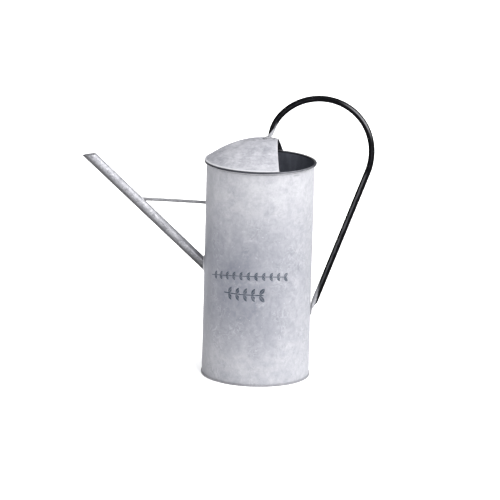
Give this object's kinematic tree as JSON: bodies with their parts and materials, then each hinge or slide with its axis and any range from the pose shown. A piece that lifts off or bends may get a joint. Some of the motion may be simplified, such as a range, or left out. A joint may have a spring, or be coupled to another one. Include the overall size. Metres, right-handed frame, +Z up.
{
  "type": "watering can",
  "caption": "Tall cylindrical zinc watering can with a wired rim, half hood, hoop handle and a straight braced spout.",
  "frame": {"origin": "on the axis of the cylindrical body, in the plane that the can stands on", "axes": "+Z up along the body's axis, -X towards the spout, +X towards the handle, Y across the mirror plane"},
  "size_m": [0.3942, 0.1518, 0.388],
  "materials": {
    "zinc_body": "whitewashed, cloudy zinc, matt",
    "zinc_hood": "whitewashed zinc, matt, faint pressing marks",
    "zinc_base": "dull zinc",
    "zinc_spout": "satin drawn zinc with a soft sheen",
    "steel_wire": "drawn steel wire",
    "brace_steel": "dull zinc-plated rod",
    "black_enamel": "gloss black enamel, worn to bare metal at both feet",
    "solder": "dull tin solder"
  },
  "bodies": {
    "root": {"body_shell": "zinc_body", "rim_wire": "steel_wire", "base_pan": "zinc_base", "hood": "zinc_hood", "hood_solder": "solder", "handle_tube": "black_enamel", "handle_top_solder": "solder", "handle_foot_solder": "solder", "spout_tube": "zinc_spout", "spout_solder": "solder", "brace_rod": "brace_steel", "brace_spout_solder": "solder", "brace_body_solder": "solder"}
  },
  "joints": []
}
